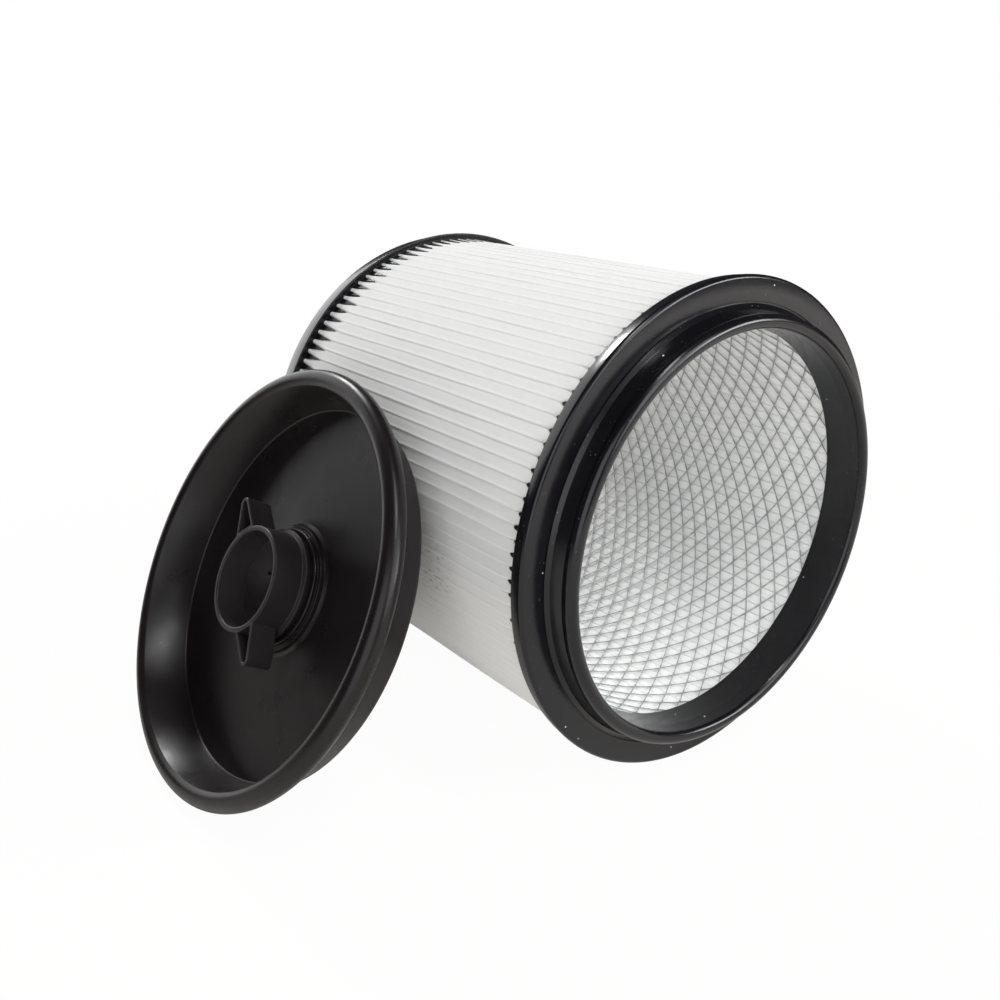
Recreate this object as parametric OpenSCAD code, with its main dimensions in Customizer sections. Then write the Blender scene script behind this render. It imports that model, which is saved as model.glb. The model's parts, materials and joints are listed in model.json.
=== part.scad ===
// Cartridge filter for a wet and dry vacuum cleaner, lying on its side, with its
// retainer dish taken off and leaning against the pleats.
// Each ring shape is drawn once as a half section of (radius, height) points and revolved.
// Cartridge sections have height 0 at the flange face and look out of the collar end.
// Dish and knob sections have height 0 at the widest line of the rim.
// The caps' radii lead inwards to the pleats, the core, the bore and the dish that closes it.

/* [Cartridge] */
// Length from the flange face to the back of the end cap
cartridge_len = 165.8; // [120:0.1:220]
// Outer radius of the flange at the collar end
flange_r = 88; // [76:0.1:100]
// Thickness of that flange
flange_t = 5.5; // [5:0.1:7]
// Outer radius of the end cap at its open edge
end_cap_r = 87.4; // [76:0.1:100]
// Height of the end cap
end_cap_t = 9.3; // [8:0.1:12]
// Thickness of the short wall round the hole of each cap
bore_wall_t = 1; // [0.8:0.1:1.5]
// How far that wall stands past the open edge of its cap
bore_wall_proud = 0.7; // [0:0.1:2]
// Thickness of the outer wall of the narrower cap
skirt_t = 1.6; // [1:0.1:1.8]
// Thickness of the flange under the paper
flange_web_t = 2; // [1.5:0.1:2.5]
// Thickness of the end cap under the paper
end_web_t = 5.3; // [3:0.1:6]
// Depth of the ring-shaped recess in the back of the end cap
end_recess = 2; // [1:0.1:2.5]

/* [Sealing collar] */
// Height of the collar above the flange face
collar_h = 9.4; // [8:0.1:14]
// Radius of the rounded lip
lip_r = 2.5; // [2:0.1:3]
// Thickness of the collar at its neck
neck_t = 5; // [4.6:0.1:5.4]
// How far the foot of the collar spreads past its neck
foot_w = 2.6; // [1:0.1:3.5]
// Width of the groove in the flange round that foot
groove_w = 0.6; // [0.3:0.1:1]
// Depth of that groove
groove_depth = 0.5; // [0.2:0.1:0.9]
// Radius of the flange's front edge
flange_round = 1.3; // [0.5:0.1:2]

/* [Pleated paper] */
// Number of pleats
pleat_count = 120; // [60:1:132]
// Gap between the pleat tips and the outer wall of each cap
tip_gap = 0.5; // [0.3:0.1:1]
// Depth of the valleys between the pleats
pleat_depth = 11.6; // [9:0.1:12]
// Thickness of the paper
paper_t = 0.5; // [0.3:0.05:0.7]
// Width of a pleat just behind its tip
pleat_w = 2.7; // [2.3:0.1:3.2]
// Opening left at the bottom of a valley
valley_gap = 0.4; // [0.2:0.05:0.6]
// How far the potting climbs out of the flange between the pleats
potting_climb = 3.4; // [1:0.1:6]
// How far the climbing potting stays below the pleat tips
potting_drop = 0.5; // [0.3:0.1:2]

/* [Mesh core] */
// Thickness of the expanded metal
core_t = 0.8; // [0.5:0.05:0.9]
// Gap between the core and the folds of the paper
core_gap = 0.15; // [0.1:0.05:0.4]
// Diamonds round the core
mesh_cols = 10; // [6:2:10]
// Rows of diamonds along the core
mesh_rows = 12; // [6:1:12]
// Width of the strands between the diamonds
strand_w = 2.4; // [1.5:0.1:4]
// Plain band left at each end of the mesh
mesh_margin = 3.5; // [2:0.1:7]

/* [Retainer dish] */
// Gap between the back of the dish and the hole that it closes
plug_gap = 1.4; // [0.3:0.1:3]
// How far the rolled rim stands out past the back
rim_reach = 9.4; // [8.5:0.1:12]
// Radius of the rim's round section
rim_bead_r = 3.9; // [3:0.1:4.5]
// Depth from the widest line of the rim to the back of the dish
dish_depth = 17.2; // [13:0.1:22]
// Radius of the edge round the back
dish_round = 2.5; // [1.5:0.1:4]
// Thickness of the dish's side wall
dish_wall_t = 1.6; // [1.2:0.1:2.5]
// Thickness of the dish's floor at its middle and its edge
dish_floor_t = 3.8; // [2:0.1:5]
// Depth of the ring-shaped recess in the back
recess_depth = 1.4; // [0.5:0.1:2]
// Thickness of the boss's wall round the knob
boss_wall_t = 2.4; // [1.6:0.1:4]
// Height of the boss above the floor
boss_h = 4.1; // [3:0.1:5]

/* [Wing knob] */
// Radius of the hole through the knob
knob_bore_r = 17.3; // [12:0.1:20]
// Thickness of the knob's tube at its open end
knob_wall_t = 1.9; // [1.5:0.1:2.5]
// Height of the tube above the widest line of the rim
knob_top = 4.8; // [2:0.1:6]
// How much the part that turns in the dish is thicker than the tube
journal_step = 0.2; // [0.1:0.1:0.8]
// Gap between that part and its hole
running_gap = 0.08; // [0.02:0.01:0.1]
// Gap between the hooks and the back of the dish
knob_play = 0.3; // [0.2:0.05:0.5]
// How far the skirt stands out above the boss
skirt_w = 1.4; // [1:0.1:2]
// How far the snap hooks stand out behind the dish
hook_w = 1.2; // [0.8:0.1:1.6]
// How far the wings stand out from the tube
wing_reach = 13; // [9:0.1:18]
// Width of a wing where it leaves the tube
wing_root_w = 10.6; // [7:0.1:12]
// Width of a wing at its tip
wing_tip_w = 4.6; // [2.6:0.1:6]
// Height of the wings along the tube
wing_h = 10; // [7:0.1:10.5]
// Thickness of the wing walls
wing_wall_t = 1.2; // [0.8:0.1:1.4]
// Direction of the wings, from the cartridge axis
wing_angle = 132; // [0:1:180]

/* [Arrangement] */
// Lean of the dish from upright
lean = 29.4; // [22:0.1:35]
// Turn of the dish about the upright
dish_turn = -1; // [-4:0.1:4]
// Distance of the dish's centre behind the flange face
dish_x = 99.3; // [80:0.1:115]
// Gap left between the dish and the pleat tips
lean_gap = 0.3; // [0.2:0.05:1]

/* [Hidden] */
$fn = 96;

BLACK = [0.10, 0.10, 0.11];
PITCH_BLACK = [0.05, 0.05, 0.06];
PAPER = [0.92, 0.92, 0.90];
ZINC = [0.68, 0.70, 0.70];

arc_steps = 8;
seat_gap = 0.05;
recess_draft = 0.6;

// Points of a round stretch, from angle a0 to a1
function arc(cx, cy, r, a0, a1) =
    [for (i = [0 : arc_steps]) let (a = a0 + (a1 - a0) * i / arc_steps)
        [cx + r * cos(a), cy + r * sin(a)]];

// A point at radius r and w sideways from the ray at angle a
function beside(r, w, a) = [r * cos(a) - w * sin(a), r * sin(a) + w * cos(a)];

// Heights in the cartridge
paper_top = -flange_web_t;
paper_bottom = -cartridge_len + end_web_t;
end_open = -cartridge_len + end_cap_t;

// Radii of the cartridge, from the caps' outer walls inwards
flange_draft = 0.8;
end_draft = 2;
pleat_r = min(flange_r - flange_draft, end_cap_r) - skirt_t - tip_gap;
trough_out_r = pleat_r + tip_gap;
valley_r = pleat_r - pleat_depth;
core_out_r = valley_r - paper_t - core_gap;
core_in_r = core_out_r - core_t;
trough_in_r = core_in_r - seat_gap;
bore_r = trough_in_r - bore_wall_t;
neck_r = bore_r + neck_t;
foot_r = neck_r + foot_w;

// Half section of the collar cap, whose lip leans out a little over its neck
lip_lean = 0.4;
lip_h = collar_h - lip_r;
lip_inside = 180;
lip_outside = -30;
collar_section = concat(
    [[bore_r, -flange_t - bore_wall_proud], [bore_r, 0.5 * lip_h]],
    arc(neck_r - lip_r + lip_lean, lip_h, lip_r, lip_inside, lip_outside),
    [[neck_r, 0.75 * lip_h],
     [neck_r + 0.3 * foot_w, 0.4 * lip_h],
     [neck_r + 0.5 * foot_w, 0.15 * lip_h],
     [foot_r, 0], [foot_r, -groove_depth], [foot_r + groove_w, -groove_depth], [foot_r + groove_w, 0]],
    arc(flange_r - flange_round, -flange_round, flange_round, 90, 0),
    [[flange_r - flange_draft, -flange_t],
     [trough_out_r, -flange_t],
     [trough_out_r, -flange_web_t],
     [trough_in_r, -flange_web_t],
     [trough_in_r, -flange_t - bore_wall_proud]]);

// Half section of the end cap
end_round = 0.8;
end_back = -cartridge_len;
end_recess_in_r = bore_r + 3;
end_recess_out_r = trough_out_r - 3.5;
end_section = concat(
    [[bore_r, end_open + bore_wall_proud], [trough_in_r, end_open + bore_wall_proud],
     [trough_in_r, paper_bottom],
     [trough_out_r, paper_bottom],
     [trough_out_r, end_open],
     [end_cap_r, end_open]],
    arc(end_cap_r - end_draft - end_round, end_back + end_round, end_round, 0, -90),
    [[end_recess_out_r, end_back], [end_recess_out_r - recess_draft, end_back + end_recess],
     [end_recess_in_r + recess_draft, end_back + end_recess], [end_recess_in_r, end_back],
     [bore_r, end_back]]);

// Half the width of a pleat at the bottom of its valley
pitch = 360 / pleat_count;
root_w = valley_r * tan(pitch / 2) - valley_gap / 2;
shoulder_drop = 1.2;

// Outer outline of the paper, pleat by pleat
paper_outside = [for (i = [0 : pleat_count - 1]) let (a = i * pitch) each [
    beside(valley_r, -root_w, a),
    beside(pleat_r - shoulder_drop, -pleat_w / 2, a),
    beside(pleat_r, -pleat_w / 4, a),
    beside(pleat_r, pleat_w / 4, a),
    beside(pleat_r - shoulder_drop, pleat_w / 2, a),
    beside(valley_r, root_w, a)]];

// Inner outline of the paper, one paper thickness inside
paper_inside = [for (i = [0 : pleat_count - 1]) let (a = i * pitch) each [
    beside(valley_r - paper_t, paper_t - root_w, a),
    beside(pleat_r - shoulder_drop, paper_t - pleat_w / 2, a),
    beside(pleat_r - paper_t, -pleat_w / 8, a),
    beside(pleat_r - paper_t, pleat_w / 8, a),
    beside(pleat_r - shoulder_drop, pleat_w / 2 - paper_t, a),
    beside(valley_r - paper_t, root_w - paper_t, a)]];

// Radii of the knob, from its hole outwards, and of the dish round it
knob_r = knob_bore_r + knob_wall_t;
journal_r = knob_r + journal_step;
skirt_r = journal_r + skirt_w;
wing_tip_r = knob_r + wing_reach;
hole_r = journal_r + running_gap;
boss_r = hole_r + boss_wall_t;

// Radii and heights of the dish
dish_back_r = bore_r - plug_gap;
rim_r = dish_back_r + rim_reach;
bead_c = rim_r - rim_bead_r;
dish_back = -dish_depth;
dish_floor = dish_back + dish_floor_t;
boss_top = dish_floor + boss_h;

// Round edge of the back
edge_r = dish_back_r - dish_round;
edge_h = dish_back + dish_round;

// The bead runs from its flat underside over the top to where it meets the inner wall
bead_from = -57;
bead_to = 139;
under_h = rim_bead_r * sin(bead_from);
under_r = bead_c - rim_bead_r + dish_wall_t - 0.3;
under_round = 0.7;

// Inner edge of the floor, and the step and the foot of the boss
floor_r = dish_back_r - dish_wall_t + 0.3;
floor_round = 0.8;
boss_step_w = 1.2;
boss_step_h = 0.6 * boss_h;
boss_foot = 0.8;
boss_edge = 0.7;

// Recess in the back, between the hole's rim and the round edge
recess_in_r = boss_r + 4;
recess_out_r = edge_r - 4;

// Half section of the retainer dish
dish_section = concat(
    [[hole_r, dish_back],
     [recess_in_r, dish_back], [recess_in_r + recess_draft, dish_back + recess_depth],
     [recess_out_r - recess_draft, dish_back + recess_depth], [recess_out_r, dish_back]],
    arc(edge_r, edge_h, dish_round, -90, 0),
    [[under_r - under_round, under_h - under_round], [under_r, under_h]],
    arc(bead_c, 0, rim_bead_r, bead_from, bead_to),
    [[floor_r + 0.3 * floor_round, dish_floor + floor_round],
     [floor_r - floor_round, dish_floor],
     [boss_r + boss_step_w + 2 * boss_foot, dish_floor],
     [boss_r + boss_step_w + boss_foot / 2, dish_floor + boss_foot],
     [boss_r + boss_step_w, boss_step_h + dish_floor],
     [boss_r, boss_step_h + dish_floor],
     [boss_r, boss_top - boss_edge],
     [boss_r - boss_edge, boss_top],
     [hole_r, boss_top]]);

// Half section of the knob, with its skirt over the boss and its hooks behind the dish
skirt_lift = 1.5;
skirt_t_edge = 1.1;
skirt_under = boss_top + skirt_lift;
skirt_top = skirt_under + skirt_t_edge;
skirt_edge = 0.4;
skirt_fillet = 0.6;
hook_top = dish_back - knob_play;
hook_t = 0.9;
hook_len = 2.8;
hook_taper = 1.4;
knob_end = hook_top - hook_len;
knob_edge = 0.4;
knob_section = [
    [knob_bore_r, knob_end], [knob_bore_r, knob_top - knob_edge], [knob_bore_r + knob_edge, knob_top],
    [knob_r - knob_edge, knob_top], [knob_r, knob_top - knob_edge],
    [journal_r, skirt_top + skirt_fillet], [skirt_r - skirt_edge, skirt_top],
    [skirt_r, skirt_top - skirt_edge],
    [skirt_r, skirt_under], [journal_r, skirt_under],
    [journal_r, hook_top], [journal_r + hook_w, hook_top], [journal_r + hook_w, hook_top - hook_t],
    [knob_bore_r + hook_taper, knob_end]];

// Four slots part the end of the tube into snap fingers
slot_w = 3;
slot_angle = 45;
slot_top = hook_top + 3.5;

// The dish's axis leans back by tilt from upright and turns with dish_turn.
// These are how far the dish reaches along a direction whose share of its axis is c.
tilt = 90 - lean;
function reach(c) = max([for (p = dish_section) p[0] * sqrt(1 - c * c) + p[1] * c]);
reach_down = reach(-cos(tilt));
reach_front = reach(sin(tilt) * cos(dish_turn));
reach_back = reach(-sin(tilt) * sin(dish_turn));

// It stands on its rim, and the round edge of its back meets the pleat tips
axis_z = max(flange_r, end_cap_r);
dish_z = reach_down;
function edge_y(a) = edge_r * (cos(a) * sin(dish_turn) + sin(a) * cos(tilt) * cos(dish_turn))
    - edge_h * sin(tilt) * cos(dish_turn);
function edge_up(a) = dish_z + edge_r * sin(a) * sin(tilt) + edge_h * cos(tilt) - axis_z;
meet_r = pleat_r + dish_round + lean_gap;
dish_y = min([for (a = [0 : 180]) -sqrt(pow(meet_r, 2) - pow(edge_up(a), 2)) - edge_y(a)]);

// Middle of the whole part seen from above, moved to the origin
mid_x = (collar_h + min(-cartridge_len, -dish_x - reach_back)) / 2;
mid_y = (axis_z + dish_y - reach_front) / 2;

module on_cartridge() {
    translate([-mid_x, -mid_y, axis_z]) rotate([0, 90, 0]) children();
}

module on_dish() {
    translate([-dish_x - mid_x, dish_y - mid_y, dish_z]) rotate([0, 0, dish_turn]) rotate([tilt, 0, 0])
        children();
}

// Paper outline, which the potting fills up to
module paper_shape() {
    difference() {
        polygon(paper_outside);
        polygon(paper_inside);
    }
}

// Potting round the paper in a cap's trough, from height low to high
module potting(low, high) {
    translate([0, 0, low]) linear_extrude(high - low) difference() {
        circle(trough_out_r);
        circle(core_out_r + seat_gap);
        paper_shape();
    }
}

module collar_cap() {
    color(BLACK) on_cartridge() rotate_extrude() polygon(collar_section);
}

module collar_potting() {
    color(PITCH_BLACK) on_cartridge() {
        potting(-flange_t, paper_top);
        translate([0, 0, -flange_t - potting_climb]) linear_extrude(potting_climb) difference() {
            circle(pleat_r - potting_drop);
            polygon(paper_outside);
        }
    }
}

module pleated_media() {
    color(PAPER) on_cartridge() translate([0, 0, paper_bottom])
        linear_extrude(paper_top - paper_bottom) paper_shape();
}

// One row of diamonds, each prism opening both sides of the core
module diamond_row(half_w, half_h, turn) {
    for (i = [0 : mesh_cols / 2 - 1])
        rotate([0, 0, turn + i * 360 / mesh_cols]) rotate([90, 0, 0])
            linear_extrude(3 * core_out_r, center = true)
                polygon([[half_w, 0], [0, half_h], [-half_w, 0], [0, -half_h]]);
}

module mesh_core() {
    end_play = 0.2;
    mesh_top = -flange_t - mesh_margin;
    mesh_bottom = end_open + mesh_margin;
    row_h = (mesh_top - mesh_bottom) / (mesh_rows + 1);
    slope = atan2(row_h, core_out_r * sin(180 / mesh_cols));
    half_h = row_h - strand_w / 2 / cos(slope);
    half_w = half_h / tan(slope);
    color(ZINC) on_cartridge() difference() {
        translate([0, 0, paper_bottom + end_play])
            linear_extrude(paper_top - paper_bottom - 2 * end_play) difference() {
                circle(core_out_r);
                circle(core_in_r);
            }
        for (j = [1 : mesh_rows])
            translate([0, 0, mesh_bottom + j * row_h])
                diamond_row(half_w, half_h, (j % 2) * 180 / mesh_cols);
    }
}

module end_cap() {
    color(BLACK) on_cartridge() rotate_extrude() polygon(end_section);
}

module end_potting() {
    fill_drop = 0.3;
    color(PITCH_BLACK) on_cartridge() potting(paper_bottom, end_open - fill_drop);
}

module retainer_dish() {
    color(BLACK) on_dish() rotate_extrude() polygon(dish_section);
}

// Outline of one wing, less inset all round
module wing_shape(inset) {
    tip = wing_tip_w / 2;
    root_r = (knob_bore_r + knob_r) / 2;
    polygon([[root_r, inset - wing_root_w / 2], [wing_tip_r - tip, inset - tip],
             [wing_tip_r - tip, tip - inset], [root_r, wing_root_w / 2 - inset]]);
    translate([wing_tip_r - tip, 0]) circle(tip - inset);
}

module wing_knob() {
    pocket_r = knob_r - 0.5;
    color(BLACK) on_dish() rotate([0, 0, wing_angle]) {
        difference() {
            rotate_extrude() polygon(knob_section);
            for (a = [slot_angle, slot_angle + 90])
                rotate([0, 0, a]) translate([-skirt_r * 2, -slot_w / 2, knob_end - 1])
                    cube([skirt_r * 4, slot_w, slot_top - knob_end + 1]);
        }
        for (a = [0, 180])
            rotate([0, 0, a]) difference() {
                translate([0, 0, knob_top - wing_h]) linear_extrude(wing_h) wing_shape(0);
                translate([0, 0, knob_top - wing_h + wing_wall_t]) linear_extrude(wing_h) difference() {
                    wing_shape(wing_wall_t);
                    circle(pocket_r);
                }
            }
    }
}

collar_cap();
collar_potting();
pleated_media();
mesh_core();
end_cap();
end_potting();
retainer_dish();
wing_knob();
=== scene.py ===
# Looks of a pleated vacuum filter cartridge and its retainer dish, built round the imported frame.
# Sections are drawn in millimetres: heights of the cartridge start at the flange face, and
# those of the dish and the knob at the widest line of the dish's rim.

import json
import math
import random

import bpy
import numpy as np
from mathutils import Matrix, Vector


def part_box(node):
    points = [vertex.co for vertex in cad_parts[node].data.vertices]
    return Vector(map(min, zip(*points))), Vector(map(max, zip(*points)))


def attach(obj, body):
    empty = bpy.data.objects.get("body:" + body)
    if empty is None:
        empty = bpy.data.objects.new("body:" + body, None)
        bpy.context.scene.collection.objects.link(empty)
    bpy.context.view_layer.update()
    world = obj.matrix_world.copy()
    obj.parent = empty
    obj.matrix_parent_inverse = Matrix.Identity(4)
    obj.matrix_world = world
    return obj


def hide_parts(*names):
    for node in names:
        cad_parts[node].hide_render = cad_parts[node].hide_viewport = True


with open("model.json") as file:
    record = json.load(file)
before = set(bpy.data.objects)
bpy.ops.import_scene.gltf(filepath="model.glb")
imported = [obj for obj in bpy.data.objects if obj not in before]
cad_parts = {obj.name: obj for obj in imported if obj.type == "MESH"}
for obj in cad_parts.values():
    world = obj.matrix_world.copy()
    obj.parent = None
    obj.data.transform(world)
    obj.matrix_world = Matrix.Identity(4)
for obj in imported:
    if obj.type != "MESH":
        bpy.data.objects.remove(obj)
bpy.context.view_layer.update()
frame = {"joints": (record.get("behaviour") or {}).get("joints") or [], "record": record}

MM = 0.001
rng = random.Random(7)

# Cartridge
CARTRIDGE_LEN = 165.8
COLLAR_H = 9.4
FLANGE_R = 88.0
FLANGE_T = 5.5
FLANGE_DRAFT = 0.8
FLANGE_WEB_T = 2.0
END_CAP_R = 87.4
END_CAP_T = 9.3
END_DRAFT = 2.0
END_WEB_T = 5.3
END_RECESS = 2.0
BORE_R = 71.0
BORE_WALL_T = 1.0
BORE_WALL_PROUD = 0.7
TROUGH_R = 85.6
NECK_R = 76.0
FOOT_W = 2.6
GROOVE_W = 0.6
GROOVE_DEPTH = 0.5
LIP_R = 2.5
LIP_LEAN = 0.4
LIP_H = COLLAR_H - LIP_R
END_OPEN = END_CAP_T - CARTRIDGE_LEN

# Paper and its potting
PLEAT_COUNT = 120
PLEAT_R = 85.1
VALLEY_R = 73.5
PAPER_T = 0.5
PAPER_TOP = -FLANGE_WEB_T
PAPER_BOTTOM = END_WEB_T - CARTRIDGE_LEN
PITCH = 2 * math.pi / PLEAT_COUNT
NEAR_OPEN = 7.0
FAR_OPEN = 14.0
NEAR_CLIMB = 4.3
# Climb of the far teeth: partly potting, partly painted shade in the deep wedges.
FAR_CLIMB_AND_SHADE = 12.0

# Expanded metal core
CORE_R = 72.45
CORE_T = 0.4
MESH_AROUND = 38
MESH_STEP = 3.55
MESH_TURN = math.radians(83.6)
MESH_PHASE = -73.3
STRAND_W = 0.3
KNOT_W = 0.7
KNOT_LEN = 1.3
STRAND_LEAN = 0.12

# Retainer dish
BEAD_R = 3.9
BEAD_MID_R = 75.1
DISH_BACK = -17.2
DISH_BACK_R = 69.6
DISH_ROUND = 2.5
DISH_FLOOR = -13.4
FLOOR_R = 68.3
UNDER_R = 72.5
UNDER_H = BEAD_R * math.sin(math.radians(-57))
BOSS_R = 21.88
BOSS_H = 4.1
BOSS_STEP_W = 1.2
BOSS_TOP = DISH_FLOOR + BOSS_H
BACK_RECESS = 1.4

# Wing knob
KNOB_R = 19.2
KNOB_BORE_R = 17.3
KNOB_TOP = 4.8
SKIRT_R = 20.8
JOURNAL_R = 19.4
HOLE_R = JOURNAL_R + 0.08
HOOK_W = 1.2
HOOK_TOP = DISH_BACK - 0.3
KNOB_END = HOOK_TOP - 2.8
SLOT_TOP = HOOK_TOP + 3.5
SKIRT_TOP = BOSS_TOP + 2.6
SKIRT_UNDER = BOSS_TOP + 1.5
LEDGE_H = -6.0
WING_TIP_R = 32.2
WING_ROOT_W = 10.6
WING_TIP_W = 4.6
WING_H = 10.0
WING_WALL_T = 1.2
WING_ANGLE = math.radians(132)

# Specks on the collar: where, radius on the face or height on a wall, degrees round the axis, size
DUST = [("face", 85, 77, 0.3), ("face", 78, 95, 0.22), ("neck", 3.4, 118, 0.4), ("bore", -3, 31, 0.22),
        ("bore", -4, -31, 0.25), ("face", 79.5, 175, 0.25), ("bore", 4.5, -93, 0.3), ("bore", -2, -100, 0.25),
        ("face", 85.5, -143, 0.3), ("face", 85.5, -137, 0.22), ("face", 83, -101, 0.28)]

# Camera, measured from the middle of the flange face on the floor
CAMERA_AT = Vector((208.9, -258.9, 223.5)) * MM
CAMERA_LOOK = Vector((-0.7358, 0.5757, -0.3567))
CAMERA_LENS = 36.41

# Light
FRONT_WAY = (0.594, -0.696, 0.404)
TOP_WAY = (0.42, 0.05, 0.9)
RIGHT_WAY = (0.851, 0.250, 0.461)
FAR_WAY = (-0.931, -0.10, 0.351)
FAR_TOP_WAY = (-0.70, 0.10, 0.70)
BACK_WAY = (0.68, 0.66, 0.32)
SURROUND = 0.04
FLOOR_GLOW = 0.96


# Places of the cartridge and of the dish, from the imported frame
mounts = {mount["name"]: mount for mount in frame["record"]["mounts"]}
axis_y, axis_z = mounts["collar_bore"]["pos_m"][1:]
face_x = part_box("collar_cap")[1].x - COLLAR_H * MM


def place(origin, x_axis, y_axis, z_axis):
    """Matrix that takes millimetres along three axes to metres in the frame."""
    turn = Matrix((x_axis, y_axis, z_axis)).transposed().to_4x4()
    return Matrix.Translation(origin) @ turn @ Matrix.Scale(MM, 4)


CARTRIDGE = place((face_x, axis_y, axis_z), (0, 0, -1), (0, 1, 0), (1, 0, 0))
knob_joint = frame["joints"][0]
dish_axis = Vector(knob_joint["axis"]).normalized()
dish_across = Vector((0, 0, 1)).cross(dish_axis).normalized()
DISH = place(knob_joint["pos_m"], dish_across, dish_axis.cross(dish_across), dish_axis)


def add_piece(name, points, faces, where, body, material, replaced=(), sharp=32):
    """Makes one piece from points in millimetres and hangs it on its body."""
    mesh = bpy.data.meshes.new(name)
    mesh.from_pydata([where @ Vector(p) for p in points], [], faces)
    mesh.validate()
    mesh.polygons.foreach_set("use_smooth", [True] * len(mesh.polygons))
    mesh.set_sharp_from_angle(angle=math.radians(sharp))
    piece = bpy.data.objects.new(name, mesh)
    bpy.context.scene.collection.objects.link(piece)
    mesh.materials.append(material)
    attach(piece, body)
    if replaced:
        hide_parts(*replaced)
    return piece


# Shapes
def rounded(corners, steps=5):
    """Points of a closed outline from (radius, height, fillet) corners."""
    outline = []
    count = len(corners)
    for i, (x, y, fillet) in enumerate(corners):
        here = Vector((x, y))
        if fillet <= 0:
            outline.append((x, y))
            continue
        back = Vector(corners[i - 1][:2]) - here
        ahead = Vector(corners[(i + 1) % count][:2]) - here
        half = back.angle(ahead) / 2
        reach = min(fillet / math.tan(half), 0.49 * back.length, 0.49 * ahead.length)
        radius = reach * math.tan(half)
        middle = (back.normalized() + ahead.normalized()).normalized()
        centre = here + middle * (radius / math.sin(half))
        start = here + back.normalized() * reach - centre
        end = here + ahead.normalized() * reach - centre
        sweep = math.atan2(start.x * end.y - start.y * end.x, start.dot(end))
        for s in range(steps + 1):
            a = sweep * s / steps
            spoke = Vector((start.x * math.cos(a) - start.y * math.sin(a),
                            start.x * math.sin(a) + start.y * math.cos(a)))
            outline.append(tuple(centre + spoke))
    return outline


def arc(cx, cy, radius, start, end, steps=16):
    """Corners along a round stretch between two angles in degrees."""
    angles = [math.radians(start + (end - start) * s / steps) for s in range(steps + 1)]
    return [(cx + radius * math.cos(a), cy + radius * math.sin(a), 0) for a in angles]


def lathe(outline, segments=256, start=0.0, sweep=2 * math.pi):
    """Points and faces of a closed outline turned about the axis."""
    whole = sweep > 2 * math.pi - 1e-6
    stops = segments if whole else segments + 1
    points = []
    for s in range(stops):
        a = start + sweep * s / segments
        points += [(r * math.cos(a), r * math.sin(a), h) for r, h in outline]
    n = len(outline)
    faces = []
    for s in range(segments):
        t = (s + 1) % stops
        for i in range(n):
            j = (i + 1) % n
            faces.append((s * n + i, s * n + j, t * n + j, t * n + i))
    if not whole:
        faces.append(tuple(range(n)))
        faces.append(tuple(range((stops - 1) * n, stops * n))[::-1])
    return points, faces


def joined(*shapes):
    """Several (points, faces) shapes as one."""
    points, faces = [], []
    for some_points, some_faces in shapes:
        base = len(points)
        points += list(some_points)
        faces += [tuple(base + i for i in face) for face in some_faces]
    return points, faces


# Materials. The paper has brown marks on the left, between the dish and the collar.
BROWN_MARK_TURN = math.radians(186)
BROWN_MARK_AT = Vector((face_x - 0.052, axis_y + 0.085 * math.cos(BROWN_MARK_TURN), axis_z + 0.085 * math.sin(BROWN_MARK_TURN)))


def new_material(name, color, roughness, **sockets):
    """A principled material, and its node tree."""
    material = bpy.data.materials.new(name)
    material.use_nodes = True
    tree = material.node_tree
    shader = tree.nodes["Principled BSDF"]
    shader.inputs["Base Color"].default_value = (*color, 1)
    shader.inputs["Roughness"].default_value = roughness
    for socket, value in sockets.items():
        shader.inputs[socket.replace("_", " ")].default_value = value
    return material, tree, shader


def noise(tree, scale, detail=3.0, rough=0.5, squeeze=(1, 1, 1)):
    """Noise over the object, in object coordinates."""
    coordinates = tree.nodes.new("ShaderNodeTexCoord")
    mapping = tree.nodes.new("ShaderNodeMapping")
    mapping.inputs["Scale"].default_value = squeeze
    texture = tree.nodes.new("ShaderNodeTexNoise")
    texture.inputs["Scale"].default_value = scale
    texture.inputs["Detail"].default_value = detail
    texture.inputs["Roughness"].default_value = rough
    tree.links.new(coordinates.outputs["Object"], mapping.inputs["Vector"])
    tree.links.new(mapping.outputs["Vector"], texture.inputs["Vector"])
    return texture.outputs["Fac"]


def ramp(tree, source, low, high, dark, light):
    """Colours from dark to light as the source goes from low to high."""
    node = tree.nodes.new("ShaderNodeValToRGB")
    node.color_ramp.elements[0].position = low
    node.color_ramp.elements[1].position = high
    node.color_ramp.elements[0].color = (*dark, 1)
    node.color_ramp.elements[1].color = (*light, 1)
    tree.links.new(source, node.inputs["Fac"])
    return node.outputs["Color"]


def mixed(tree, share, first, second):
    """Blend of two colours, each a socket or a plain colour."""
    node = tree.nodes.new("ShaderNodeMix")
    node.data_type = "RGBA"
    tree.links.new(share, node.inputs["Factor"])
    for name, color in (("A", first), ("B", second)):
        socket = next(s for s in node.inputs if s.name == name and s.type == "RGBA")
        if isinstance(color, tuple):
            socket.default_value = (*color, 1)
        else:
            tree.links.new(color, socket)
    return next(s for s in node.outputs if s.type == "RGBA")


def bump(tree, shader, source, strength, distance):
    """Small relief from a source."""
    node = tree.nodes.new("ShaderNodeBump")
    node.inputs["Strength"].default_value = strength
    node.inputs["Distance"].default_value = distance
    tree.links.new(source, node.inputs["Height"])
    tree.links.new(node.outputs["Normal"], shader.inputs["Normal"])


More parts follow.
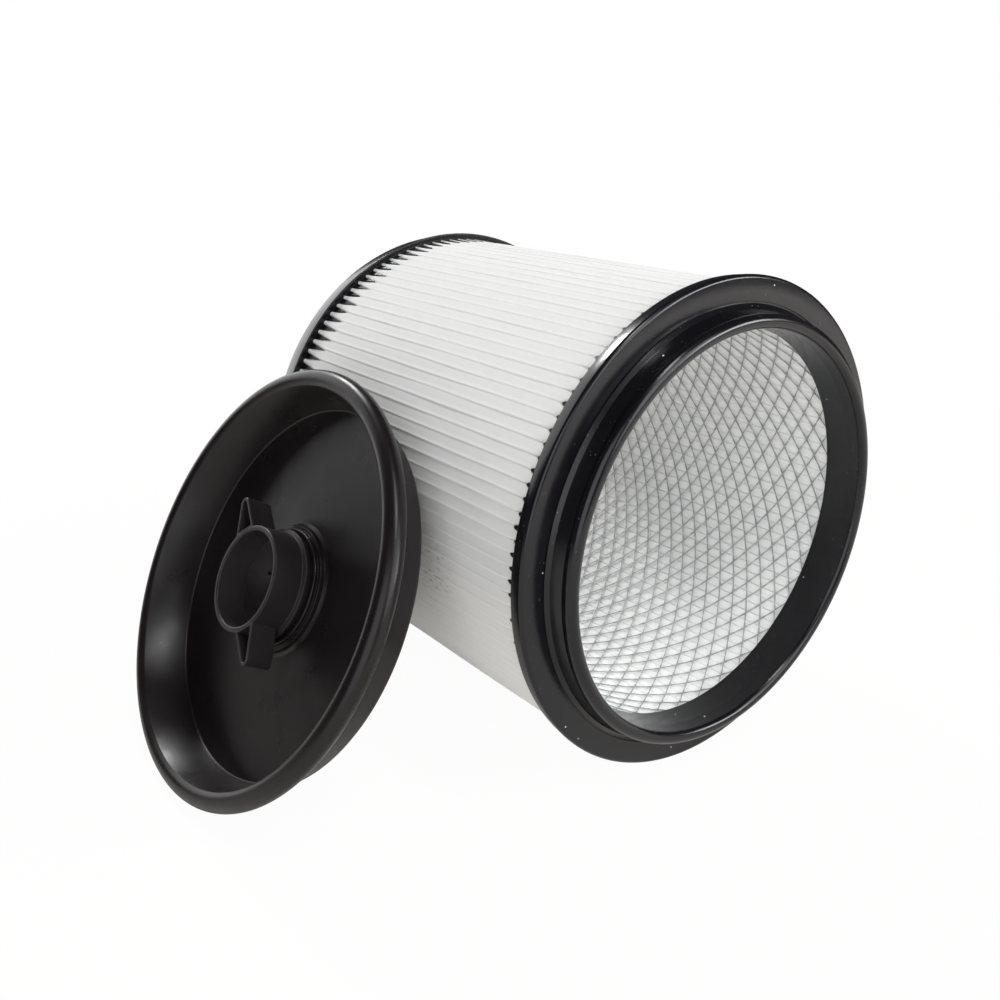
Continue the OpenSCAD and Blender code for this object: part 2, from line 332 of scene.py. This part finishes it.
def black_plastic(name, tint, roughness, bend, dust=0.0):
    """Moulded black plastic with slight clouding and, where asked, fine pale dust."""
    material, tree, shader = new_material(name, tint, roughness, IOR=bend)
    light = tuple(1.5 * c for c in tint)
    cloud = ramp(tree, noise(tree, 30, 4), 0.35, 0.7, tint, light)
    if dust:
        specks = noise(tree, 1900, 2, 0.4)
        grains = ramp(tree, specks, 0.79 - dust, 0.80 - dust, (0, 0, 0), (1, 1, 1))
        cloud = mixed(tree, grains, cloud, (0.32, 0.31, 0.30))
    tree.links.new(cloud, shader.inputs["Base Color"])
    gloss = ramp(tree, noise(tree, 90, 3), 0.3, 0.75, (roughness * 0.85,) * 3, (roughness * 1.2,) * 3)
    tree.links.new(gloss, shader.inputs["Roughness"])
    bump(tree, shader, noise(tree, 260, 3), 0.12, 0.0002)
    return material


def filter_paper():
    """White felted filter paper, with a painted highlight along its crests, painted light over its whole inner face,
    and a few brown marks.
    """
    material, tree, shader = new_material("filter_paper", (0.92, 0.92, 0.9), 0.95)
    shader.inputs["Subsurface Weight"].default_value = 0.25
    shader.inputs["Subsurface Radius"].default_value = (1.0, 0.97, 0.92)
    shader.inputs["Subsurface Scale"].default_value = 0.0005
    shader.inputs["Specular IOR Level"].default_value = 0.1
    fibres = noise(tree, 700, 4, 0.6, (0.25, 1, 1))
    grey = ramp(tree, fibres, 0.3, 0.75, (0.89, 0.885, 0.865), (0.915, 0.91, 0.895))
    # The whiter copy is painted light: a painted highlight on the crest points and painted light over the whole inner
    # face, picked by the point attribute white.
    white = ramp(tree, fibres, 0.3, 0.75, (0.95, 0.95, 0.94), (0.975, 0.975, 0.97))
    share = tree.nodes.new("ShaderNodeAttribute")
    share.attribute_name = "white"
    paper = mixed(tree, share.outputs["Fac"], grey, white)
    place_node = tree.nodes.new("ShaderNodeTexCoord")
    reach = tree.nodes.new("ShaderNodeVectorMath")
    reach.operation = "DISTANCE"
    reach.inputs[1].default_value = BROWN_MARK_AT
    tree.links.new(place_node.outputs["Object"], reach.inputs[0])
    near = ramp(tree, reach.outputs["Value"], 0.006, 0.014, (1, 1, 1), (0, 0, 0))
    # Patchy brown marks near that point on the left of the paper.
    marks = ramp(tree, noise(tree, 900, 2, 0.5, (0.35, 1, 1)), 0.56, 0.66, (0, 0, 0), (0.55, 0.55, 0.55))
    marked = mixed(tree, near, (0, 0, 0), marks)
    brown = mixed(tree, marked, paper, (0.42, 0.36, 0.29))
    tree.links.new(brown, shader.inputs["Base Color"])
    bump(tree, shader, fibres, 0.2, 0.0002)
    return material


def zinc():
    """Galvanised expanded metal."""
    material, tree, shader = new_material("zinc_mesh", (0.4, 0.41, 0.41), 0.6, Metallic=0.35)
    patches = noise(tree, 420, 3)
    tree.links.new(ramp(tree, patches, 0.35, 0.7, (0.34, 0.35, 0.36), (0.5, 0.51, 0.5)),
                   shader.inputs["Base Color"])
    bump(tree, shader, noise(tree, 1800, 2), 0.15, 0.0001)
    return material


CAP_BLACK = black_plastic("black_cap", (0.0045, 0.004, 0.0055), 0.2, 1.43, 0.03)
POTTING_BLACK = black_plastic("potting", (0.003, 0.0028, 0.004), 0.4, 1.4)
DISH_BLACK = black_plastic("black_dish", (0.0075, 0.0054, 0.006), 0.31, 1.36)
KNOB_BLACK = black_plastic("black_knob", (0.016, 0.0135, 0.0148), 0.42, 1.36)
PAPER = filter_paper()
ZINC = zinc()


# Collar cap
def collar_cap():
    inner = 0.5 * LIP_H
    foot = NECK_R + FOOT_W
    edge = FLANGE_R - FLANGE_DRAFT
    trough = BORE_R + BORE_WALL_T
    lip = arc(NECK_R - LIP_R + LIP_LEAN, LIP_H, LIP_R, 180, -30, 28)
    section = [(BORE_R, -FLANGE_T - BORE_WALL_PROUD, 0.3), (BORE_R, inner, 0.6)] + lip + [
        (NECK_R, 0.75 * LIP_H, 0.6),
        (NECK_R + 0.3 * FOOT_W, 0.4 * LIP_H, 0.5),
        (NECK_R + 0.5 * FOOT_W, 0.15 * LIP_H, 0.3),
        (foot, 0, 0.15),
        (foot, -GROOVE_DEPTH, 0),
        (foot + GROOVE_W, -GROOVE_DEPTH, 0),
        (foot + GROOVE_W, 0, 0.12),
        (FLANGE_R, 0, 1.3),
        (edge, -FLANGE_T, 0.3),
        (TROUGH_R, -FLANGE_T, 0.2),
        (TROUGH_R, -FLANGE_WEB_T, 0),
        (trough, -FLANGE_WEB_T, 0),
        (trough, -FLANGE_T - BORE_WALL_PROUD, 0.2)]
    points, faces = lathe(rounded(section, 6), 360)
    add_piece("sealing_collar", points, faces, CARTRIDGE, "filter", CAP_BLACK, ["collar_cap"])


# End cap
def end_cap():
    trough = BORE_R + BORE_WALL_T
    back, recess = -CARTRIDGE_LEN, END_RECESS - CARTRIDGE_LEN
    section = [
        (BORE_R, END_OPEN + BORE_WALL_PROUD, 0.3),
        (trough, END_OPEN + BORE_WALL_PROUD, 0.3),
        (trough, PAPER_BOTTOM, 0),
        (TROUGH_R, PAPER_BOTTOM, 0),
        (TROUGH_R, END_OPEN, 0.3),
        (END_CAP_R, END_OPEN, 0.4),
        (END_CAP_R - END_DRAFT, back, 0.8),
        (TROUGH_R - 3.5, back, 0.4),
        (TROUGH_R - 4.1, recess, 0.5),
        (BORE_R + 3.6, recess, 0.5),
        (BORE_R + 3, back, 0.4),
        (BORE_R, back, 0.5)]
    points, faces = lathe(rounded(section, 6), 360)
    add_piece("far_cap", points, faces, CARTRIDGE, "filter", CAP_BLACK, ["end_cap"])


# Pleated paper
def half_pitch(r):
    return r * math.tan(PITCH / 2)


def beside(r, gap):
    """Sideways place on a pleat that leaves the gap to the middle of its groove."""
    return (r, half_pitch(r) - gap)


def mirrored(points):
    return [(r, -w) for r, w in points]


# Outlines of one pleat as (radius, sideways) points, from the middle of one fold over the crest. The caps hold it
# narrow, with open wedges beside it. Between them it fills out, leans to one side and nearly meets the next.
VALLEY = (VALLEY_R, -half_pitch(VALLEY_R))
FOLD = [beside(73.7, 1.0), beside(74.7, 1.15)]
HELD_SIDE = FOLD + [(76.6, 1.75), (79.5, 1.62), (82.0, 1.42), (83.3, 1.28), (84.2, 1.02), (84.8, 0.62)]
HELD_OUTSIDE = [VALLEY] + mirrored(HELD_SIDE) + [(PLEAT_R, 0)] + HELD_SIDE[::-1]
FULL_SIDE = FOLD + [beside(76.6, 0.25), beside(79.5, 0.04)]
FULL_OUTSIDE = [VALLEY] + mirrored(FULL_SIDE + [beside(82.6, 0.015), beside(84.62, 0.01)]) + [
    (84.66, -1.6), (84.7, -0.6), (84.75, 0.4), (84.8, 1.2), (84.93, 1.5), (84.9, 1.75),
    beside(84.68, 0.01)] + FULL_SIDE[::-1]
# Outline points on the crest, whose paper is whitened as a painted highlight.
CREST_POINTS = (11, 12)
INNER_VALLEY = (VALLEY_R - PAPER_T, -half_pitch(VALLEY_R - PAPER_T))
INNER_FOLD = [beside(73.05, 1.3), (73.25, 0.07), (74.8, 0.04)]
HELD_INNER = INNER_FOLD + [(77.0, 1.15), (82.8, 0.85)]
HELD_INSIDE = [INNER_VALLEY] + mirrored(HELD_INNER) + [(PLEAT_R - PAPER_T, 0)] + HELD_INNER[::-1]
FULL_INNER = INNER_FOLD + [(77.0, 1.4), (83.0, 1.55)]
FULL_INSIDE = [INNER_VALLEY] + mirrored(FULL_INNER) + [(84.5, 0.9)] + FULL_INNER[::-1]


def slow_curves(*sizes):
    """One slow random curve along the paper for each pleat."""
    return [[(size * rng.uniform(0.5, 1), rng.uniform(0.6, 2.6), rng.uniform(0, 6.3)) for size in sizes]
            for _ in range(PLEAT_COUNT)]


def swing(curve, along):
    return sum(size * math.sin(turns * 2 * math.pi * along + phase) for size, turns, phase in curve)


def paper_heights():
    """Heights of the sections through the paper, close together where the wedges are."""
    low = [END_OPEN - 0.4 + 1.5 * FAR_OPEN * (k / 9) ** 1.4 for k in range(10)]
    high = [-FLANGE_T + 0.4 - 2 * NEAR_OPEN * (k / 6) ** 1.4 for k in range(7)]
    gaps = 9
    middle = [low[-1] + (high[-1] - low[-1]) * k / gaps for k in range(1, gaps)]
    return [PAPER_BOTTOM] + low + middle + high[::-1] + [PAPER_TOP]


def filled(height, near_open, far_open):
    """How far a pleat has filled out at a height, from 0 at the caps to 1."""
    clear = min((height - END_OPEN) / far_open, (-FLANGE_T - height) / near_open)
    return math.sin(math.pi / 2 * min(max(clear, 0), 1))


def pleat_points(held, full, i, height, fill, sides, lift):
    """Points of one pleat's outline at a height, with its grooves and crest moved a little."""
    a = i * PITCH
    points = []
    for (held_r, held_w), (full_r, full_w) in zip(held, full):
        r = held_r + (full_r - held_r) * fill
        w = held_w + (full_w - held_w) * fill
        part = 0.5 + 0.5 * w / half_pitch(r)
        w += min(max((r - 77) / 7, 0), 1) * (sides[0] * (1 - part) + sides[1] * part)
        r += lift * max(0, (r - 83) / 2)
        points.append((r * math.cos(a) - w * math.sin(a), r * math.sin(a) + w * math.cos(a), height))
    return points


def pleated_paper():
    grooves = slow_curves(0.16, 0.07)
    crests = slow_curves(0.1, 0.05)
    opens = [(NEAR_OPEN * rng.uniform(0.85, 1.1), FAR_OPEN * rng.uniform(0.8, 1.1)) for _ in range(PLEAT_COUNT)]
    heights = paper_heights()
    outside, inside = len(HELD_OUTSIDE) * PLEAT_COUNT, len(HELD_INSIDE) * PLEAT_COUNT
    points, white = [], []
    # Crest points carry the painted highlight, and every point of the inner face carries painted light.
    crest_highlight = [float(k in CREST_POINTS) for k in range(len(FULL_OUTSIDE))]
    for height in heights:
        along = (height - PAPER_BOTTOM) / (PAPER_TOP - PAPER_BOTTOM)
        free = max(math.sin(math.pi * along), 0) ** 0.5
        outer, inner = [], []
        for i in range(PLEAT_COUNT):
            fill = filled(height, *opens[i])
            sides = (free * swing(grooves[i - 1], along), free * swing(grooves[i], along))
            lift = free * swing(crests[i], along) - 0.12
            outer += pleat_points(HELD_OUTSIDE, FULL_OUTSIDE, i, height, fill, sides, lift)
            inner += pleat_points(HELD_INSIDE, FULL_INSIDE, i, height, fill, sides, lift)
        points += outer + inner
        white += crest_highlight * PLEAT_COUNT + [1.0] * inside
    faces = []
    ring = outside + inside
    for s in range(len(heights) - 1):
        low, high = s * ring, (s + 1) * ring
        for i in range(outside):
            j = (i + 1) % outside
            faces.append((low + i, low + j, high + j, high + i))
        for i in range(outside, ring):
            j = i + 1 if i + 1 < ring else outside
            faces.append((low + j, low + i, high + i, high + j))
    faces += paper_end(0, False) + paper_end((len(heights) - 1) * ring, True)
    piece = add_piece("pleated_paper", points, faces, CARTRIDGE, "filter", PAPER,
                      ["pleated_media"], 60)
    # Per-point share of the whiter paper: painted highlight on the crests, painted light inside.
    piece.data.attributes.new("white", "FLOAT", "POINT").data.foreach_set("value", white)


def paper_end(base, flip):
    """Faces that close one end of the folded band."""
    faces = []
    o, n = len(HELD_OUTSIDE), len(HELD_INSIDE)
    for i in range(PLEAT_COUNT):
        outer = [base + (i * o + k) % (o * PLEAT_COUNT) for k in range(o + 1)]
        inner = [base + o * PLEAT_COUNT + (i * n + k) % (n * PLEAT_COUNT) for k in range(n + 1)]
        u = v = 0
        while u < o or v < n:
            if v == n or (u < o and (u + 1) / o <= (v + 1) / n):
                face = (outer[u], outer[u + 1], inner[v])
                u += 1
            else:
                face = (outer[u], inner[v + 1], inner[v])
                v += 1
            faces.append(face if flip else face[::-1])
    return faces


# Potting in both caps, with a pointed tooth in each wedge between the pleats. The long far teeth are partly potting
# and partly painted shade deep in the wedges.
BLUNT = (-0.1, 0.3, 0.85, 1, 0.85, 0.3, -0.1)
POINTED = (-0.1, 0.1, 0.5, 1, 0.5, 0.1, -0.1)
TOOTH_ROWS = [(84.75, 1.25, 0.95), (83.6, 1.0, 1.0), (82.0, 0.75, 1.0), (79.5, 0.45, 0.9), (77.3, 0.25, 0.6)]


def tooth(turn, base, climb, skew, rises):
    """One tooth from the potting's face at the base, climbing along the pleats."""
    points = []
    for r, wide, share in TOOTH_ROWS:
        for side, rise in zip((-1, -0.95, -0.45, 0, 0.45, 0.95, 1), rises):
            w = wide * side + skew * max(rise, 0)
            points.append((r * math.cos(turn) - w * math.sin(turn), r * math.sin(turn) + w * math.cos(turn),
                           base + climb * share * rise))
    n = 7
    faces = [(k * n + c, k * n + (c + 1) % n, k * n + n + (c + 1) % n, k * n + n + c)
             for k in range(len(TOOTH_ROWS) - 1) for c in range(n)]
    faces += [tuple(range(n))[::-1], tuple(n * (len(TOOTH_ROWS) - 1) + c for c in range(n))]
    if climb > 0:
        faces = [face[::-1] for face in faces]
    return points, faces


def potting():
    def ring(low, high):
        inner_r = CORE_R + CORE_T
        return lathe([(inner_r, low), (TROUGH_R, low), (TROUGH_R, high), (inner_r, high)], 240)

    def teeth(base, climb, rises):
        return [tooth((i + 0.5) * PITCH, base, climb * rng.uniform(0.75, 1.1), rng.uniform(-0.25, 0.25), rises)
                for i in range(PLEAT_COUNT)]
    points, faces = joined(ring(-FLANGE_T, -FLANGE_WEB_T), *teeth(-FLANGE_T, -NEAR_CLIMB, BLUNT))
    add_piece("collar_sealant", points, faces, CARTRIDGE, "filter", POTTING_BLACK,
              ["collar_potting"], 50)
    level = END_OPEN - 0.3
    # Far teeth: partly potting, partly painted shade filling the deep open wedges.
    points, faces = joined(ring(PAPER_BOTTOM, level), *teeth(level, FAR_CLIMB_AND_SHADE, POINTED))
    add_piece("far_sealant_and_shade", points, faces, CARTRIDGE, "filter", POTTING_BLACK, ["end_potting"], 50)


# Expanded metal core
def mesh_core():
    top, bottom = PAPER_TOP - 0.2, PAPER_BOTTOM + 0.2
    half_turn = math.pi / MESH_AROUND
    half_w = CORE_R * half_turn
    first = math.ceil((bottom + 6 - MESH_PHASE) / MESH_STEP)
    last = math.floor((top - 4 - MESH_PHASE) / MESH_STEP)
    points, faces, cache = [], [], {}

    def point(turn, height, depth):
        key = (round(turn, 5) % round(2 * math.pi, 5), round(height, 3), round(depth, 3))
        if key not in cache:
            cache[key] = len(points)
            r = CORE_R + depth
            points.append((r * math.cos(turn), r * math.sin(turn), height))
        return cache[key]

    slope = STRAND_W / 2 / math.hypot(half_w, MESH_STEP)
    corners = [(half_w, 0), (half_w / 2, MESH_STEP / 2), (0, MESH_STEP)]
    insides = [(half_w - KNOT_LEN / 2, 0), (half_w / 2 - slope * MESH_STEP, MESH_STEP / 2 - slope * half_w),
               (0, MESH_STEP - KNOT_W / 2)]
    signs = [(0, 1, 1), (1, 1, 1), (2, 1, 1), (1, -1, 1), (0, -1, 1), (1, -1, -1), (2, 1, -1), (1, 1, -1)]
    for j in range(first, last + 1):
        height = MESH_PHASE + j * MESH_STEP
        for i in range(MESH_AROUND):
            turn = MESH_TURN + (2 * i + j % 2 + 1) * half_turn
            rim = [(turn + corners[c][0] * across / CORE_R, height + corners[c][1] * up, 0)
                   for c, across, up in signs]
            hole = [(turn + insides[c][0] * across / CORE_R, height + insides[c][1] * up,
                     STRAND_LEAN * up * (c > 0)) for c, across, up in signs]
            for k in range(8):
                m = (k + 1) % 8
                front = [point(t, h, d - CORE_T / 2) for t, h, d in (rim[k], rim[m], hole[m], hole[k])]
                back = [point(t, h, d + CORE_T / 2) for t, h, d in (rim[k], rim[m], hole[m], hole[k])]
                faces.append(tuple(front))
                faces.append(tuple(reversed(back)))
                faces.append((front[2], back[2], back[3], front[3]))
    low, high = MESH_PHASE + first * MESH_STEP, MESH_PHASE + last * MESH_STEP
    add_piece("expanded_metal", points, faces, CARTRIDGE, "filter", ZINC, ["mesh_core"], 40)
    return low, high


# Retainer dish
def gate_mark():
    """Low round stub with a nib beside it, on the flank behind the bead where the dish was moulded from."""
    turn, slope = math.radians(14.5), math.radians(-9.4)
    out = Vector((math.cos(turn) * math.cos(slope), math.sin(turn) * math.cos(slope), math.sin(slope)))
    side = Vector((-math.sin(turn), math.cos(turn), 0))
    back = out.cross(side)
    shapes = []
    n = 12
    for h, size, high in ((-8.6, 1.1, 0.35), (-11.3, 0.5, 0.3)):
        middle = Vector((math.cos(turn), math.sin(turn), 0)) * (UNDER_R - 0.9 + (h - UNDER_H) * 0.166)
        middle.z = h
        rings = [(1.0, -0.5), (0.95, 0.7), (0.75, 1.0), (0.3, 0.55)]
        points = [middle + (side * math.cos(2 * math.pi * k / n) + back * math.sin(2 * math.pi * k / n)) * size * wide
                  + out * high * rise for wide, rise in rings for k in range(n)]
        faces = [(row * n + k, row * n + (k + 1) % n, row * n + n + (k + 1) % n, row * n + n + k)
                 for row in range(len(rings) - 1) for k in range(n)]
        faces += [tuple(range(n))[::-1], tuple((len(rings) - 1) * n + k for k in range(n))]
        shapes.append((points, faces))
    return joined(*shapes)


def retainer_dish():
    edge_r = DISH_BACK_R - DISH_ROUND
    recess = DISH_BACK + BACK_RECESS
    section = [
        (HOLE_R, DISH_BACK, 0.2),
        (BOSS_R + 4, DISH_BACK, 0.3),
        (BOSS_R + 4.6, recess, 0.5),
        (edge_r - 4.6, recess, 0.5),
        (edge_r - 4, DISH_BACK, 0.3),
        (DISH_BACK_R, DISH_BACK, DISH_ROUND),
        (UNDER_R - 0.7, UNDER_H - 0.7, 0.6),
        (UNDER_R, UNDER_H, 0.3)]
    section += arc(BEAD_MID_R, 0, BEAD_R, -57, 139, 40)
    section += [
        (FLOOR_R, DISH_FLOOR, 0.9),
        (BOSS_R + BOSS_STEP_W + 1.6, DISH_FLOOR, 0.4),
        (BOSS_R + BOSS_STEP_W + 0.4, DISH_FLOOR + 0.8, 0.3),
        (BOSS_R + BOSS_STEP_W, DISH_FLOOR + 0.6 * BOSS_H, 0.3),
        (BOSS_R, DISH_FLOOR + 0.6 * BOSS_H, 0.2),
        (BOSS_R, BOSS_TOP, 0.7),
        (HOLE_R, BOSS_TOP, 0.2)]
    points, faces = joined(lathe(rounded(section, 6), 360), gate_mark())
    add_piece("dish_shell", points, faces, DISH, "filter", DISH_BLACK, ["retainer_dish"], 40)


# Wing knob
def wing():
    """One hollow wing along +X, open towards the top."""
    low, high = KNOB_TOP - WING_H, KNOB_TOP
    tip = WING_TIP_W / 2
    end = WING_TIP_R - tip
    root = (KNOB_BORE_R + KNOB_R) / 2
    taper = (WING_ROOT_W - WING_TIP_W) / 2 / (end - root)

    def outline(inset, height, start):
        half = WING_ROOT_W / 2 - (start - root) * taper - inset
        rim = [(start, -half, height)]
        for s in range(13):
            a = math.radians(-76 + 152 * s / 12)
            rim.append((end + (tip - inset) * math.cos(a), (tip - inset) * math.sin(a), height))
        rim.append((start, half, height))
        return rim

    edge = 0.3
    wall_start, pocket_start = KNOB_BORE_R + 1, KNOB_R
    loops = [outline(edge, low, wall_start), outline(0, low + edge, wall_start),
             outline(0, high - edge, wall_start), outline(edge, high, wall_start),
             outline(WING_WALL_T - edge, high, pocket_start), outline(WING_WALL_T, high - edge, pocket_start),
             outline(WING_WALL_T, low + WING_WALL_T, pocket_start)]
    n = len(loops[0])
    points = [p for loop in loops for p in loop]
    faces = []
    for k in range(len(loops) - 1):
        for i in range(n):
            j = (i + 1) % n
            faces.append((k * n + i, k * n + j, (k + 1) * n + j, (k + 1) * n + i))
    faces.append(tuple(range(n))[::-1])
    faces.append(tuple((len(loops) - 1) * n + i for i in range(n)))
    return points, faces


def turned(shape, angle):
    points, faces = shape
    c, s = math.cos(angle), math.sin(angle)
    return [(x * c - y * s, x * s + y * c, z) for x, y, z in points], faces


def thread_ledge():
    """Low ring inside the tube, the start of its thread."""
    return lathe([(KNOB_BORE_R + 0.3, LEDGE_H - 0.8), (KNOB_BORE_R - 0.5, LEDGE_H - 0.25),
                  (KNOB_BORE_R - 0.5, LEDGE_H + 0.1), (KNOB_BORE_R + 0.3, LEDGE_H + 0.5)], 120)


def wing_knob():
    tube = [
        (KNOB_BORE_R, SLOT_TOP, 0),
        (KNOB_BORE_R, KNOB_TOP, 0.6),
        (KNOB_R, KNOB_TOP, 0.6),
        (KNOB_R + 0.2, SKIRT_TOP + 0.6, 0.5),
        (SKIRT_R, SKIRT_TOP, 0.5),
        (SKIRT_R, SKIRT_UNDER, 0.3),
        (JOURNAL_R, SKIRT_UNDER, 0),
        (JOURNAL_R, SLOT_TOP, 0)]
    finger = [
        (KNOB_BORE_R, KNOB_END, 0.2), (KNOB_BORE_R, SLOT_TOP, 0), (JOURNAL_R, SLOT_TOP, 0),
        (JOURNAL_R, HOOK_TOP, 0), (JOURNAL_R + HOOK_W, HOOK_TOP, 0.2),
        (JOURNAL_R + HOOK_W, HOOK_TOP - 0.9, 0.3), (KNOB_BORE_R + 1.4, KNOB_END, 0.3)]
    shapes = [lathe(rounded(tube, 6), 160), wing(), turned(wing(), math.pi), thread_ledge()]
    slot_half = math.asin(1.5 / JOURNAL_R)
    for k in range(4):
        start = math.radians(45 + 90 * k) + slot_half
        shapes.append(lathe(rounded(finger, 3), 24, start, math.pi / 2 - 2 * slot_half))
    points, faces = turned(joined(*shapes), WING_ANGLE)
    add_piece("turning_knob", points, faces, DISH, "knob", KNOB_BLACK, ["wing_knob"], 40)


# Dust on the collar
def dust():
    """Specks of paper fluff, each a small flat blob with six sides."""
    points, faces = [], []
    n = 6
    for place, value, turn, size in DUST:
        a = math.radians(turn)
        spoke, ahead = Vector((-math.sin(a), math.cos(a), 0)), Vector((0, 0, 1))
        if place == "face":
            middle, normal, up = spoke * value, ahead, spoke
        elif place == "neck":
            middle, normal, up = spoke * (NECK_R + 0.25 * FOOT_W) + ahead * value, spoke, ahead
        else:
            middle, normal, up = spoke * BORE_R + ahead * value, -spoke, ahead
        side = up.cross(normal)
        base = len(points)
        for wide, high in ((1.0, -0.05), (0.85, 0.07), (0.4, 0.13)):
            for k in range(n):
                b = 2 * math.pi * k / n
                reach = size * wide * rng.uniform(0.75, 1.15)
                points.append(middle + (side * math.cos(b) + up * math.sin(b)) * reach + normal * high)
        faces += [(base + row * n + k, base + row * n + (k + 1) % n, base + row * n + n + (k + 1) % n,
                   base + row * n + n + k) for row in range(2) for k in range(n)]
        faces += [tuple(base + k for k in range(n))[::-1], tuple(base + 2 * n + k for k in range(n))]
    add_piece("dust_specks", points, faces, CARTRIDGE, "filter", PAPER)


collar_cap()
end_cap()
pleated_paper()
potting()
mesh_core()
retainer_dish()
wing_knob()
dust()


# Floor, lights and camera
def backdrop():
    """White floor that keeps the soft shadow and is white to the camera elsewhere."""
    size = 6.0
    mesh = bpy.data.meshes.new("floor")
    mesh.from_pydata([(-size, -size, 0), (size, -size, 0), (size, size, 0), (-size, size, 0)], [], [(0, 1, 2, 3)])
    floor = bpy.data.objects.new("floor", mesh)
    bpy.context.scene.collection.objects.link(floor)
    material = bpy.data.materials.new("floor")
    material.use_nodes = True
    tree = material.node_tree
    shader = tree.nodes["Principled BSDF"]
    shader.inputs["Base Color"].default_value = (0.94, 0.91, 0.86, 1)
    shader.inputs["Roughness"].default_value = 1.0
    shader.inputs["Specular IOR Level"].default_value = 0.0
    glow = tree.nodes.new("ShaderNodeEmission")
    glow.inputs["Color"].default_value = (1, 1, 1, 1)
    path = tree.nodes.new("ShaderNodeLightPath")
    coordinates = tree.nodes.new("ShaderNodeTexCoord")
    distance = tree.nodes.new("ShaderNodeVectorMath")
    distance.operation = "LENGTH"
    fade = tree.nodes.new("ShaderNodeMapRange")
    fade.inputs["From Min"].default_value = 0.15
    fade.inputs["From Max"].default_value = 0.6
    fade.inputs["To Min"].default_value = FLOOR_GLOW
    fade.inputs["To Max"].default_value = 1.0
    share = tree.nodes.new("ShaderNodeMath")
    share.operation = "MULTIPLY"
    tree.links.new(coordinates.outputs["Object"], distance.inputs[0])
    tree.links.new(distance.outputs["Value"], fade.inputs["Value"])
    tree.links.new(fade.outputs["Result"], share.inputs[1])
    mix = tree.nodes.new("ShaderNodeMixShader")
    tree.links.new(path.outputs["Is Camera Ray"], share.inputs[0])
    tree.links.new(share.outputs[0], mix.inputs["Fac"])
    tree.links.new(shader.outputs[0], mix.inputs[1])
    tree.links.new(glow.outputs[0], mix.inputs[2])
    tree.links.new(mix.outputs[0], tree.nodes["Material Output"].inputs["Surface"])
    mesh.materials.append(material)


def world_light():
    """White to the camera, and a dim surround to everything else."""
    world = bpy.data.worlds.new("studio")
    bpy.context.scene.world = world
    world.use_nodes = True
    tree = world.node_tree
    surround = tree.nodes["Background"]
    surround.inputs["Color"].default_value = (0.97, 0.98, 1.0, 1)
    surround.inputs["Strength"].default_value = SURROUND
    white = tree.nodes.new("ShaderNodeBackground")
    white.inputs["Color"].default_value = (1, 1, 1, 1)
    white.inputs["Strength"].default_value = 1.0
    path = tree.nodes.new("ShaderNodeLightPath")
    mix = tree.nodes.new("ShaderNodeMixShader")
    tree.links.new(path.outputs["Is Camera Ray"], mix.inputs["Fac"])
    tree.links.new(surround.outputs[0], mix.inputs[1])
    tree.links.new(white.outputs[0], mix.inputs[2])
    tree.links.new(mix.outputs[0], tree.nodes["World Output"].inputs["Surface"])


def soft_box(name, at, target, size, power, color=(1, 1, 1)):
    lamp = bpy.data.lights.new(name, "AREA")
    lamp.shape = "RECTANGLE"
    lamp.size, lamp.size_y = size
    lamp.energy = power
    lamp.color = color
    holder = bpy.data.objects.new(name, lamp)
    holder.location = at
    holder.rotation_euler = (Vector(target) - Vector(at)).to_track_quat("-Z", "Y").to_euler()
    bpy.context.scene.collection.objects.link(holder)


def camera():
    lens = bpy.data.cameras.new("camera")
    lens.lens = CAMERA_LENS
    lens.sensor_width = 36
    lens.clip_start = 0.01
    holder = bpy.data.objects.new("camera", lens)
    holder.location = Vector((face_x, axis_y, 0)) + CAMERA_AT
    holder.rotation_euler = CAMERA_LOOK.to_track_quat("-Z", "Y").to_euler()
    bpy.context.scene.collection.objects.link(holder)
    bpy.context.scene.camera = holder


backdrop()
world_light()
soft_box("front_light", Vector(FRONT_WAY) * 1.3, (0, 0, 0.08), (1.1, 1.1), 7.2, (0.96, 0.98, 1.0))
soft_box("top_light", Vector(TOP_WAY) * 1.4, (0, 0, 0.08), (0.22, 0.6), 5)
soft_box("right_light", Vector(RIGHT_WAY) * 1.4, (0, 0, 0.08), (0.9, 0.9), 9, (0.96, 0.98, 1.0))
soft_box("far_light", Vector(FAR_WAY) * 1.4, (0, 0, 0.08), (1.2, 1.2), 8)
soft_box("far_top_light", Vector(FAR_TOP_WAY) * 1.4, (0, 0, 0.08), (0.25, 0.25), 6.6)
soft_box("back_light", Vector(BACK_WAY) * 1.6, (0, 0, 0.08), (0.6, 0.4), 9)
camera()
bpy.context.scene.view_settings.view_transform = "Standard"
